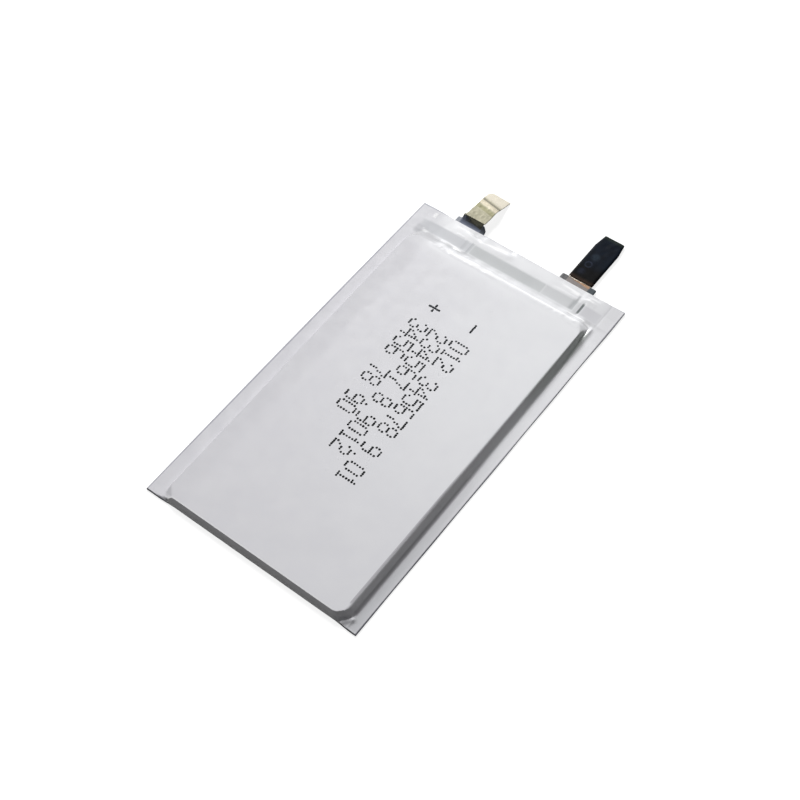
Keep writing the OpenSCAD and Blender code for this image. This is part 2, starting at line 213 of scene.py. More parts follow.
def loft_mesh(name, rings, capped=True, sharp_angle=40):
    """A skin through rings, capped or else joined from the last to the first."""
    rings = np.asarray(rings)
    rows, cols = rings.shape[:2]
    last = (rows - 1) * cols
    faces = grid_faces(rows, cols, wrap=True)
    if capped:
        faces += [list(range(cols))[::-1], list(range(last, last + cols))]
    else:
        faces += [[last + j, last + (j + 1) % cols, (j + 1) % cols, j] for j in range(cols)]
    return make_mesh(name, rings.reshape(-1, 3), faces, sharp_angle)


def add_object(name, data):
    made = bpy.data.objects.new(name, data)
    bpy.context.scene.collection.objects.link(made)
    return made


def add_piece(mesh, finish, stands_for=(), body="cell"):
    """Puts a mesh in the scene as a piece of the object."""
    piece = add_object(mesh.name, mesh)
    mesh.materials.append(finish)
    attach(piece, body)
    if stands_for:
        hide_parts(*stands_for)


# ---- The formed front film ----


def ring_distance(x, y, t):
    """How far a point lies outside the pocket's ring at share t of the way up its wall."""
    left = np.interp(y, *LEFT_SHOULDER) - LEFT_RUN * (1 - t)
    right = np.interp(y, *RIGHT_FOOT) * (1 - t) + np.interp(y, *RIGHT_SHOULDER) * t
    low, high = FOOT_Y0 + BOTTOM_RUN * t, FOOT_Y1 - TOP_RUN * t
    shoulder_r = np.where((x > 0) & (y < 0), RIGHT_CORNER_R, POCKET_R)
    r = FOOT_R + (shoulder_r - FOOT_R) * t
    r = np.where((x < 0) & (y < 0), LEFT_CORNER_R, np.where((x > 0) & (y > 0), TOP_CORNER_R, r))
    qx = np.abs(x - (left + right) / 2) - (right - left) / 2 + r
    qy = np.abs(y - (low + high) / 2) - (high - low) / 2 + r
    rounded = np.hypot(np.maximum(qx, 0), np.maximum(qy, 0)) + np.minimum(np.maximum(qx, qy), 0) - r
    left_cut = np.interp(t, *LEFT_CUT) - x - y
    right_cut = x - y - np.interp(t, *RIGHT_CUT)
    return np.maximum(rounded, np.maximum(left_cut, right_cut) / math.sqrt(2))


def wall_share(x, y):
    """How far up the pocket's wall a point is: 0 on the flange and 1 on the face."""
    low, high = np.zeros(x.shape), np.ones(x.shape)
    for _ in range(24):
        middle = (low + high) / 2
        inside = ring_distance(x, y, middle) < 0
        low, high = np.where(inside, middle, low), np.where(inside, high, middle)
    return np.where(ring_distance(x, y, np.ones(x.shape)) < 0, 1, (low + high) / 2)


def tab_cover(x, edge):
    """1 over a tab's sealant and 0 away from both tabs."""
    covers = [window(x, low[0] - 0.05, high[0] + 0.05, edge) for low, high in SEALANTS]
    return np.maximum(*covers)


def header_rise(y):
    """How far the header has risen from the pocket's foot to the seal band."""
    return smooth((y - FOOT_Y1 + 0.1) / (BAND_Y - FOOT_Y1 + 0.3))


def header_level(x, y):
    """Height of the header over the flat flange, before its droop and waves."""
    level = 0.15 + 0.07 * header_rise(y) + (0.04 - 0.02 * header_rise(y)) * tab_cover(x, 2.4)
    sides = soft_ramp((14.7 + x) / 4.7, 0.1) * soft_ramp((14.7 - x) / 4.4, 0.1)
    return level * sides * smooth((y - FOOT_Y1 + 0.8) / 0.7)


def seal_lift(x, y):
    """How far the sealed header stands off the floor beside the two tabs."""
    return header_level(x, y) * (1 - tab_cover(x, 0.35)) * header_rise(y)


def header_height(x, y):
    """Height that the header adds to the flat flange."""
    droop = 0.025 * smooth((y - BAND_Y - 0.3) / (SEAL_BAND - 0.3)) * window(x, -10.6, 10.8, 1.5)
    waves = 0.004 * ripples(x, 0.6 * y, 11, 3.2) * smooth((y - BAND_Y) / 0.5) * window(x, -13.2, 12.6, 0.6)
    return header_level(x, y) - droop + waves


CREASES = [
    # x and y of both ends, width, height: over the sealants' edges, across the channel
    (-6.6, 23.2, -6.5, 21.6, 0.2, -0.005),
    (-5.8, 23.2, -5.7, 21.4, 0.14, -0.006),
    (5.1, 23.9, 5, 22.2, 0.16, 0.006),
    (9.3, 24, 9.15, 21.6, 0.26, -0.012),
    (9.75, 23.4, 9.7, 21.6, 0.18, 0.012),
    (10.25, 23.4, 10.25, 21.4, 0.14, -0.02),
    # the second fold under the positive tab, and the pocket's upper left corner
    (-8.6, 21.4, -6.2, 21.1, 0.14, 0.012),
    (-10.3, 20.98, -6.2, 20.92, 0.14, -0.008),
    (-12.3, 21.65, -11.4, 21.15, 0.14, 0.03),
    # the foot's ridge along its right half and round the corner
    (-1, 21.4, 9.2, 21.4, 0.16, 0.01),
    (9.2, 21.05, 11.6, 21, 0.14, 0.036),
    (11.6, 21, 12.5, 20.65, 0.12, 0.036),
    # thin folds along the seal band
    (-8.3, 23.25, -7.3, 23.25, 0.1, 0.014),
    (-12.3, 24, -12.15, 24.55, 0.16, 0.03),
    (11, 23.85, 11.4, 23.45, 0.14, 0.012),
    # a faint line over the shoulder
    (9.3, 20.1, 11.2, 19.78, 0.14, -0.01),
    # the side seals' lines beside the header
    (13, 25, 13, 20, 0.14, -0.01),
    (-13.3, 24, -13.2, 21.3, 0.3, -0.01),
    # the bottom corners
    (13.42, -23.9, 12.66, -24.78, 0.3, 0.15),
    (13.55, -23.9, 13.5, -24.7, 0.1, 0.03),
    (13.5, -24.84, 14.5, -24.84, 0.06, 0.02),
    (-12.85, -23.4, -12.55, -24.6, 0.1, 0.015),
]

FACETS = [
    # x and y of both ends, width at each, slope: flat folds of the seal band
    (-8.4, 24.25, -6.7, 24.12, 0.14, 0.18, 9.5),
    (-6.9, 24.12, -6, 23.78, 0.18, 0.18, 11),
    (-6.3, 23.84, -5.6, 23.66, 0.18, 0.12, 10),
    (-5, 23.8, -1.2, 23.95, 0.06, 0.66, 8.5),
    (6.3, 24.3, 9, 23.7, 0.12, 0.5, 8.5),
    (6.3, 23.36, 8.4, 23.34, 0.12, 0.12, 9),
    (9.45, 23.52, 10.25, 23.86, 0.14, 0.18, 9),
    (10.15, 23.86, 11.1, 23.86, 0.18, 0.18, 9),
    (10.55, 24.28, 11.2, 24.32, 0.24, 0.24, 9),
]


def crinkles(x, y):
    """Short folds along the pocket's top shoulder."""
    shoulder = hill(y, SHOULDER_Y + 0.3, 0.34) * window(x, -8.4, 11.6, 0.8)
    stronger = 0.45 + 0.8 * window(x, -7.5, -3.2, 1.6) + 0.5 * window(x, 5.5, 9.5, 1.5)
    return shoulder * stronger * (0.026 * ripples(x, 0.5 * y, 5, 1.3) + 0.014 * ripples(x, y, 6, 0.7))


def face_waves(x, y):
    """Soft hollows of the film over the stack."""
    broad = -0.006 * (1 + ripples(x, y, 21, 13.0))
    fine = -0.0025 * (1 + ripples(x, y, 22, 4.0))
    dent = -0.02 * hill(x - 0.35 * y, 13.5, 3.5) * hill(y, -20.5, 3.2)
    return broad + fine + dent


def drawn_flange(x, y):
    """Height of the flange where it was drawn up beside the right wall's upper end."""
    return 0.15 * hill(x, 12.84, 0.28) * smooth((y - 14.0) / 5.0) * smooth((21.2 - y) / 1.0)


def wall_rise(x, y):
    """How far up the wall a point is, as shares of the way in and of the height."""
    wander = 0.1 * ripples(x, 0 * x, 8, 2.4) * smooth((y - 18) / 2) * window(x, -9, 12, 1)
    drawn = 0.15 * window(x, -7.6, -2.4, 1.0) * smooth((y - 18) / 1.2) * smooth((21.3 - y) / 1.0)
    limit = np.where(y > 19, np.inf, y)
    share = wall_share(x, np.minimum(y + wander + drawn, limit))
    broader = 0.1 * window(x, -8.0, -1.0, 1.5) + 0.14 * window(x, -5.2, -3.2, 1.0) - 0.03
    return share, soft_ramp(share, 0.24 + broader * smooth((y - 18.5) / 1.5))


def film_height(x, y):
    """Height of the front film's outer face."""
    share, wall = wall_rise(x, y)
    height = FLANGE_Z + WALL_H * wall + header_height(x, y) * (1 - wall) * smooth((y - 20) / 1.2)
    height = height + crinkles(x, y) + drawn_flange(x, y)
    height = height + sum(crease(x, y, *c) for c in CREASES) + sum(facet(x, y, *f) for f in FACETS)
    past_foot = np.abs(x) - FOOT_X
    waves = 0.004 * ripples(x, 0.4 * y, 31, 2.6) * (1 - wall) * smooth((past_foot + 0.5) / 0.6)
    sag = 0.06 * smooth((x - FOOT_X) / 1.2) * smooth((18 - y) / 30)
    height = height + face_waves(x, y) * share * share + waves - sag
    return np.clip(height, FLANGE_Z - 0.07, FACE_Z - SKIN)


def fold_bow(x):
    """How far the fold lies from its line. It is drawn in between the corners."""
    return -0.12 + 0.12 * window(x, -10.5, 11.8, 2.6) + 0.015 * ripples(x, 0 * x, 41, 5.0) ** 2


def edge_shift(x, y):
    """Sideways wander of the film's cut edges."""
    near = smooth((np.abs(x) - FOOT_X) / (SIDE_FLANGE * 0.8))
    left = -0.12 + 0.1 * (y / TOP_Y) ** 2
    right = 0.03 * (1 + ripples(0 * y, y, 51, 9.0))
    return near * np.where(x < 0, left, -right)


FILM_X = spaced(
    (-HALF_W, -FOOT_X - 0.1, 0.16), (-FOOT_X - 0.1, -11.3, 0.08), (-11.3, -8.6, 0.18), (-8.6, -4.8, 0.1),
    (-4.8, -1, 0.2), (-1, 6, 0.3), (6, 8.6, 0.15), (8.6, FOOT_X + 0.3, 0.08),
    (FOOT_X + 0.3, HALF_W, 0.12),
)
FILM_Y = spaced((FOOT_Y0, -24.2, 0.05), (-24.2, -22, 0.12), (-22, 19, 0.45), (19, TOP_Y, 0.09))
FOLD_STEPS = 6
FOLD_GAP = 0.002


def place_edges(points):
    """Moves a film's points by its edges' wander and its fold's bow."""
    x, y = points[..., 0].copy(), points[..., 1].copy()
    bow = fold_bow(x) * smooth((-24.2 - y) / 0.8)
    points[..., 0] = x + edge_shift(x, y)
    points[..., 1] = y + bow + np.interp(x, *TOP_EDGE) * smooth(y - TOP_Y + 1.0)
    return points


def with_fold(outside, inside):
    """A film's two grids with rows in front that turn round the fold."""
    turn = np.linspace(0, math.pi / 2, FOLD_STEPS, endpoint=False)[:, None]
    outer, inner = (np.repeat(grid[:1], FOLD_STEPS, axis=0) for grid in (outside, inside))
    outer[..., 1] -= FILM_T * np.cos(turn)
    outer[..., 2] = FILM_T + (outer[..., 2] - FILM_T) * np.sin(turn)
    inner[..., 1] -= FOLD_GAP * np.cos(turn)
    inner[..., 2] = FILM_T
    return np.concatenate([outer, outside]), np.concatenate([inner, inside])


def formed_film_mesh():
    x, y = np.meshgrid(FILM_X, FILM_Y)
    z = film_height(x, y)
    slope_y, slope_x = np.gradient(z, FILM_Y, FILM_X)
    across = np.sqrt(1 + slope_x ** 2 + slope_y ** 2)
    under_z = np.maximum(FILM_T + seal_lift(x, y), z - FILM_T * across)
    top, under = (place_edges(np.stack([x, y, height], -1)) for height in (z, under_z))
    return sheet_mesh("formed_front_film", *with_fold(top, under))


def back_film_mesh():
    """The flat half of the sheet, up to the fold."""
    rows_y = spaced((FOOT_Y0, -24.0, 0.3), (-24.0, 20.5, 1.5), (20.5, TOP_Y, 0.25))
    x, y = np.meshgrid(FILM_X, rows_y)
    lift = seal_lift(x, y)
    top, under = (place_edges(np.stack([x, y, lift + rise], -1)) for rise in (FILM_T, 0))
    under, top = with_fold(under, top)
    return sheet_mesh("flat_back_film", top, under)


# ---- Strips: the leads, the nickel strip and the sealant ----


def rounded_corners(path, radius, steps=6):
    """A path of (y, z) points with its inner corners turned into arcs."""
    path = [np.array(p, float) for p in path]
    made = [path[0]]
    for before, corner, after in zip(path, path[1:], path[2:]):
        a, b = before - corner, after - corner
        reach = min(radius, np.linalg.norm(a) * 0.45, np.linalg.norm(b) * 0.45)
        p, q = corner + a / np.linalg.norm(a) * reach, corner + b / np.linalg.norm(b) * reach
        for t in np.linspace(0, 1, steps):
            made.append((1 - t) ** 2 * p + 2 * t * (1 - t) * corner + t * t * q)
    return np.array(made + [path[-1]])


def resampled(path, step):
    """The same path with points at most one step apart."""
    lengths = np.linalg.norm(np.diff(path, axis=0), axis=1)
    made = [path[0]]
    for a, b, length in zip(path, path[1:], lengths):
        count = max(1, math.ceil(length / step))
        made += [a + (b - a) * k / count for k in range(1, count + 1)]
    return np.array(made)


def section(width, thickness, edge, across=16, turns=7):
    """A flat strip's section as (across, through) points, rounded over edge."""
    half, deep = width / 2, thickness / 2
    flat = np.linspace(-half + edge, half - edge, across)
    turn = np.linspace(0, math.pi, turns)[1:-1]
    right = [(half - edge + edge * math.sin(a), -deep * math.cos(a)) for a in turn]
    left = [(-u, -w) for u, w in right]
    return np.array([(u, -deep) for u in flat] + right + [(u, deep) for u in flat[::-1]] + left)


def path_frames(path):
    """Length along a (y, z) path and its unit normals, at each of its points."""
    tangent = np.gradient(path, axis=0)
    tangent /= np.linalg.norm(tangent, axis=1)[:, None]
    length = np.concatenate([[0], np.cumsum(np.linalg.norm(np.diff(path, axis=0), axis=1))])
    return length, np.stack([-tangent[:, 1], tangent[:, 0]], -1)


def strip_rings(path, width, thickness, centre_x, across=16):
    """Rings of a strip that follows a (y, z) path."""
    _, normals = path_frames(path)
    points = section(width, thickness, LEAD_EDGE_R, across)
    rings = np.zeros((len(path), len(points), 3))
    rings[..., 0] = centre_x + points[:, 0]
    rings[..., 1:] = path[:, None, :] + points[:, 1][None, :, None] * normals[:, None, :]
    return rings


KINK_SLOPE = math.radians(6.2)
RISE_SLOPE = math.radians(41)
LEAD_T = 0.1
LEAD_EDGE_R = 0.03
LEAD_BEND_R = 0.3
SEALANT_OUT = 0.75
SEALANT_T = 0.06


def lead_path(pole):
    """A lead's centre line as (y, z) points. The positive one rises to a kink past the film."""
    low, high = box_mm(pole + "_lead")
    if pole == "negative":
        middle_z = (low[2] + high[2]) / 2
        return np.array([(low[1], middle_z), (high[1], middle_z)])
    flat_z, top_z = low[2] + LEAD_T / 2, high[2] - LEAD_T / 2
    kink_y = box_mm("positive_nickel_strip")[0][1] + 0.06
    rise_y = kink_y - (top_z - flat_z) / math.tan(RISE_SLOPE)
    end_z = top_z - (high[1] - kink_y) * math.tan(KINK_SLOPE)
    corners = [(low[1], flat_z), (rise_y, flat_z), (kink_y, top_z), (high[1], end_z)]
    return rounded_corners(corners, LEAD_BEND_R)


def lead_mesh(name, pole, step):
    low, high = box_mm(pole + "_lead")
    path = resampled(lead_path(pole), step)
    return loft_mesh(name, strip_rings(path, high[0] - low[0], LEAD_T, middle_x(pole + "_lead")))


STRIP_W = 3.0
STRIP_START_Y = TOP_Y + 0.98
STRIP_SKEW = math.radians(1.5)
STRIP_TIP_DROP = math.radians(7.5)
STRIP_CHAMFER = 0.42
# How far along the strip its crease lies, and the crease's slant
CREASE_AT = 3.45
CREASE_SLANT = 0.2
WELDS = [(-0.65, 0.85), (0.65, 0.85), (-0.65, 2.15), (0.65, 2.15)]


def strip_rise(u, s):
    """The strip's low hump, its crease and its drooping tip."""
    past = s - CREASE_AT + CREASE_SLANT * u
    hump = 0.05 * hill(past, -0.75, 0.55) + 0.16 * hill(past, -0.9, 0.9) * smooth(0.5 + u / STRIP_W)
    groove = -0.035 * hill(past, -0.08, 0.16)
    tip = np.maximum(past, 0)
    return hump + groove - tip * smooth(tip / 0.5) * math.tan(STRIP_TIP_DROP) * (1 + 0.1 * u)


def nickel_strip_mesh():
    """The strip welded on the positive lead, with weld pits and one cut corner."""
    low, high = box_mm("positive_nickel_strip")
    root = np.array([low[1], high[2] - LEAD_T / 2 - 0.004])
    length = (high[1] - low[1]) / math.cos(KINK_SLOPE)
    run = np.linspace(0, length, 60)
    path = root + run[:, None] * np.array([math.cos(KINK_SLOPE), -math.sin(KINK_SLOPE)])
    _, normals = path_frames(path)
    rings = strip_rings(path, STRIP_W, LEAD_T, 0.0, across=30)
    u = rings[..., 0].copy()
    s = np.broadcast_to(run[:, None], u.shape)
    cut = np.maximum(0, s - (length - STRIP_CHAMFER)) * (u < 0)
    u = np.where(cut > 0, np.maximum(u, -STRIP_W / 2 + cut), u)
    pits = sum(hill(np.hypot(u - a, s - b), 0.0, 0.22) for a, b in WELDS)
    raised = sum(hill(np.hypot(u - a, s - b), 0.34, 0.1) for a, b in WELDS)
    face = strip_rise(u, s) - 0.022 * pits + 0.01 * raised + 0.004 * ripples(u, s, 61, 1.3)
    rings[..., 1:] += face[..., None] * normals[:, None, :]
    rings[..., 0] = middle_x("positive_nickel_strip") + 0.03 + u + (s - length / 2) * math.tan(STRIP_SKEW)
    return loft_mesh("welded_nickel_strip", rings)


def sealant_faces(u, s, half_w, rounded):
    """How far a sealant's outer and inner faces lie from the lead's centre line."""
    side = np.clip((np.abs(u) - 0.93) / 0.07, 0, 1)
    off_lead = np.abs(u) * half_w - STRIP_W / 2
    outer = LEAD_T / 2 + SEALANT_T * (1 - 0.25 * smooth((off_lead - 0.05) / 0.45))
    outer = outer * (1 - 0.5 * rounded ** 2) * (1 - 0.6 * side ** 2)
    outer = outer - 0.004 * (1 + ripples(u * 3, s, 71, 0.9))
    return outer, np.minimum(LEAD_T / 2 * (1 - smooth(off_lead / 0.04)), outer - 0.004)


def sealant_mesh(node, sign):
    """A melted sealant strip along its lead. sign is 1 for the one in front."""
    low, high = box_mm(node)
    pole = node.split("_")[0]
    path = resampled(lead_path(pole), 0.02)
    run, normals = path_frames(path)

    def follow(s, pairs):
        return [np.interp(s, run, values) for values in pairs.T]

    start, film_end = np.interp([low[1], TOP_Y], path[:, 0], run)
    end = film_end + SEALANT_OUT
    s = np.concatenate([np.linspace(start, end - 0.25, 24), np.linspace(end - 0.22, end, 8)])
    u, s = np.meshgrid(np.linspace(-1, 1, 49), s)
    past_film = smooth((s - film_end) / 0.5)
    s = s - past_film * (0.03 + 0.05 * ripples(u * 2.2, 0 * s, 73, 1.6))
    if pole == "positive":
        # It runs higher up the lead's riser towards the left
        s = s + past_film * 0.48 * smooth((0.35 - u) / 0.9) * smooth((u + 0.82) / 0.12)
    half_w = (high[0] - low[0]) / 2
    rounded = np.clip((s - (end - 0.2)) / 0.2, 0, 1)
    x = middle_x(node) + u * half_w * (1 - 0.02 * rounded)
    (y, z), (normal_y, normal_z) = follow(s, path), follow(s, normals)
    if pole == "positive":
        # Its right end is drawn up with the lead, and its left end stays flat
        y, z = follow(s + 0.3 * smooth((u - 0.3) / 0.5) * past_film, path)
        x = x - 0.5 * smooth((u - 0.62) / 0.38) * smooth((z - path[0][1] - 0.05) / 0.5)
        stays = smooth((-u - 0.66) / 0.16)
        y = y * (1 - stays) + (TOP_Y + s - film_end) * stays
        z = z * (1 - stays) + path[0][1] * stays
        normal_y, normal_z = normal_y * (1 - stays), normal_z * (1 - stays) + stays
    faces = [np.stack([x, y + sign * off * normal_y, z + sign * off * normal_z], -1)
             for off in sealant_faces(u, s, half_w, rounded)]
    return sheet_mesh("melted_" + node, *faces[::sign])


# ---- The insulating sleeve ----


def tube_ring(width, thickness):
    return section(width, thickness, thickness / 2, 15, 9)


SLEEVE_WALL = 0.11
MOUTH_L = 1.75


def sleeve_mesh():
    """The shrunk tube, pinched and narrower past the lead's end."""
    low, high = box_mm("negative_sleeve")
    width, thickness = high[0] - low[0], high[2] - low[2]
    centre = (low + high) / 2
    mouth_y = high[1] - MOUTH_L
    outer, inner = [], []
    for y in spaced((low[1], low[1] + 0.3, 0.06), (low[1] + 0.3, mouth_y, 0.2), (mouth_y, high[1], 0.12)):
        share = max(0.0, (y - mouth_y) / MOUTH_L)
        wide, deep = width * (1 - 0.17 * share), thickness * (1 - 0.12 * share)
        lip = 1 - 0.05 * hill(y, low[1], 0.05)
        ring = tube_ring(wide * lip, deep * lip)
        waves = 0.01 * ripples(ring[:, 0] * 1.2, np.full(len(ring), y), 81, 1.4)
        ring[:, 1] += waves * (np.abs(ring[:, 0]) < width / 2 - thickness / 2)
        ring[:, 1] = np.clip(ring[:, 1], -thickness / 2, thickness / 2)
        bore = tube_ring(wide - 2 * SLEEVE_WALL, deep - 2 * SLEEVE_WALL)
        for rings, points in ((outer, ring), (inner, bore)):
            rings.append([(centre[0] + u, y, centre[2] + w) for u, w in points])
    return loft_mesh("shrunk_sleeve", outer + inner[::-1], capped=False, sharp_angle=50)


# ---- The printed digits ----

# Seven rows of five dots, from the top
DIGITS = {
    "0": "01110 10001 10001 10001 10001 10001 01110",
    "1": "00100 01100 00100 00100 00100 00100 01110",
    "2": "01110 10001 00001 00110 01000 10000 11111",
    "3": "01110 10001 00001 00110 00001 10001 01110",
    "4": "00010 00110 01010 10010 11111 00010 00010",
    "5": "11111 10000 11110 00001 00001 10001 01110",
    "6": "01110 10000 10000 11110 10001 10001 01110",
    "7": "11111 00001 00010 00010 00100 00100 00100",
    "8": "01110 10001 10001 01110 10001 10001 01110",
    "9": "01110 10001 10001 01111 00001 00001 01110",
    ".": "00000 00000 00000 00000 00000 00000 00100",
}
# Plain counting digits, and each line's place across the cell and start along it
PRINT_LINES = [("012 345678 9.01", 1.05, 9.9), ("234567 8.9012", -1.88, 9.7), ("3456 78 90", -4.72, 9.75)]
CHAR_PITCH = 1.5
COLUMN_PITCH = 0.262
ROW_PITCH = 0.385
PRINT_SKEW = 0.019
DOT_R = 0.15
DOT_SIDES = 8


def digit_dots():
    """Places of the digits' dots. The lines read towards -Y, with their tops towards +X."""
    dots = []
    for text, base, start in PRINT_LINES:
        for place, char in enumerate(text):
            for row, bits in enumerate(DIGITS.get(char, "").split()):
                for column, bit in enumerate(bits):
                    if bit == "1":
                        y = start - place * CHAR_PITCH - column * COLUMN_PITCH
                        dots.append((base + (6 - row) * ROW_PITCH + (10 - y) * PRINT_SKEW, y))
    return dots


def sign_dots():
    """The plus and minus signs beside the tabs, as rows of close dots."""
    plus_x, plus_y, minus_x = -3.5, 12.3, 2.0
    dots = [(plus_x + u, plus_y + 0.02 * u) for u in np.linspace(-0.68, 0.68, 7)]
    dots += [(plus_x + 0.02 * v, plus_y + v) for v in np.linspace(-0.48, 0.48, 6) if abs(v) > 0.1]
    return dots + [(minus_x, plus_y + 0.12 + v) for v in np.linspace(-0.55, 0.55, 6)]


def ink_mesh():
    """Low round drops of ink, with their flat sides just under the film's surface."""
    draw = np.random.default_rng(7)
    points, faces = [], []
    for x, y in digit_dots() + sign_dots():
        x, y = x + draw.normal(0, 0.012), y + draw.normal(0, 0.012)
        r = DOT_R * draw.uniform(0.88, 1.12)
        z = float(film_height(np.array([[x]]), np.array([[y]]))[0, 0])
        start = len(points)
        turn = draw.uniform(0, math.pi)
        for share, up in ((1.0, -0.003), (1.0, 0.001), (0.8, 0.0035)):
            for k in range(DOT_SIDES):
                a = turn + 2 * math.pi * k / DOT_SIDES
                points.append((x + r * share * math.cos(a), y + r * share * math.sin(a), z + up))
        faces += grid_faces(3, DOT_SIDES, start, wrap=True)
        top = start + 2 * DOT_SIDES
        faces += [list(range(start, start + DOT_SIDES))[::-1], list(range(top, top + DOT_SIDES))]
    return make_mesh("printed_digits", points, faces)


# ---- Materials ----


class Nodes:
    """The node tree of a material or a world, filled from nothing."""

    def __init__(self, owner):
        owner.use_nodes = True
        self.tree = owner.node_tree
        self.tree.nodes.clear()

    def add(self, kind, inputs=None, **settings):
        """Adds a shader node, fed by values or by sockets, and gives its outputs."""
        made = self.tree.nodes.new("ShaderNode" + kind)
        for key, value in settings.items():
            setattr(made, key, value)
        for key, value in (inputs or {}).items():
            if isinstance(value, bpy.types.NodeSocket):
                self.tree.links.new(value, made.inputs[key])
            else:
                made.inputs[key].default_value = value
        return made.outputs

    def maths(self, operation, *values, **settings):
        return self.add("Math", dict(enumerate(values)), operation=operation, **settings)[0]


class Finish(Nodes):
    """A material with one Principled shader and patterns in the object's millimetres."""

    def __init__(self, name):
        self.material = bpy.data.materials.new(name)
        super().__init__(self.material)
        coordinates = self.add("TexCoord")["Object"]
        self.place = self.add("Mapping", {"Vector": coordinates, "Scale": (1 / MM,) * 3})["Vector"]
        self.xyz = self.add("SeparateXYZ", {"Vector": self.place})

    def step(self, value, start, end, low=0.0, high=1.0, kind="SMOOTHSTEP"):
        """low before start, high past end and a soft change between."""
        inputs = {"Value": value, "From Min": start, "From Max": end, "To Min": low, "To Max": high}
        return self.add("MapRange", inputs, interpolation_type=kind)["Result"]

    def along(self, axis, start, end):
        """0 before start and 1 past end along an axis."""
        return self.step(self.xyz[axis], start, end)

    def between(self, factor, low, high):
        """low and high mixed as numbers by a factor from 0 to 1."""
        return self.step(factor, 0, 1, low, high, "LINEAR")

    def band(self, value, start, full, last, end):
        """1 from full to last, with soft sides that reach 0 at start and end."""
        return self.times(self.step(value, start, full), self.step(value, end, last))

    def patch(self, *edges):
        """1 inside a rectangle seen from above: a band along X and then one along Y."""
        return self.times(self.band(self.xyz["X"], *edges[:4]), self.band(self.xyz["Y"], *edges[4:]))

    def times(self, a, b):
        return self.maths("MULTIPLY", a, b)

    def noise(self, size, detail=2.0, stretch=(1, 1, 1)):
        """Smooth noise with features of about that many millimetres."""
        stretched = self.add("Mapping", {"Vector": self.place, "Scale": stretch})["Vector"]
        return self.add("TexNoise", {"Vector": stretched, "Scale": 1 / size, "Detail": detail})["Fac"]

    def spread(self, noise, low=0, high=1):
        """Noise with its usual middle stretch turned to the range from low to high."""
        return self.step(noise, 0.3, 0.7, low, high, "LINEAR")

    def mix(self, factor, a, b):
        """Colour a where factor is 0 and b where it is 1."""
        ready = [(*value, 1) if isinstance(value, tuple) else value for value in (factor, a, b)]
        return self.add("Mix", dict(zip((0, 6, 7), ready)), data_type="RGBA")[2]

    def build(self, colour, roughness, height=None, depth=0.0, **sockets):
        """The material. depth is the bump's full height, and sockets' names have _ for a space."""
        inputs = {"Base Color": colour, "Roughness": roughness}
        if depth:
            bump = {"Height": height, "Distance": depth * MM, "Strength": 1}
            inputs["Normal"] = self.add("Bump", bump)[0]
        inputs.update((key.replace("_", " "), value) for key, value in sockets.items())
        self.add("OutputMaterial", {"Surface": self.add("BsdfPrincipled", inputs)["BSDF"]})
        return self.material


def cool(level):
    """A slightly blue grey of the film."""
    return level, level + 0.005, level + 0.025


FACE_COLOURS = ((0.695, 0.69, 0.725), (0.72, 0.715, 0.745))
# Painted light: a lighter copy of the face's colour, shown towards the upper right
LIT_FACE_COLOURS = ((0.83, 0.835, 0.86), (0.85, 0.855, 0.875))
# Painted sheen: the header's lighter colour
HEADER_SHEEN_COLOUR = cool(0.89)
# Painted shade: the header's ends, darker than its middle, most at the left end where the film faces the
# lamp
HEADER_END_SHADES = ((0.735, 0.735, 0.765), (0.84, 0.84, 0.865))
# Painted highlights: the near-white of glints on folds and shoulders
PAINTED_HIGHLIGHT = (0.98, 0.98, 0.99)
# Painted shade in creases and folds
CREASE_SHADE = (0.36, 0.38, 0.39)
KEY_DIRECTION = (-0.62, 0.58, 0.53)
# Painted shade where the film's left side faces the lamp: the shade colour has the share of the top value
# less the fall divided by how far the film faces the lamp
LAMP_FACING_SHADE = (0.42, 0.42, 0.435)
LAMP_FACING_SHADE_TOP = 2.35
LAMP_FACING_SHADE_FALL = 1.247
LAMP_FACING_SHADE_LEAST = 0.3

ALL = (-99, -98, 98, 99)
CHANNEL_Y = (21.25, 21.7, 22.85, 23.25)
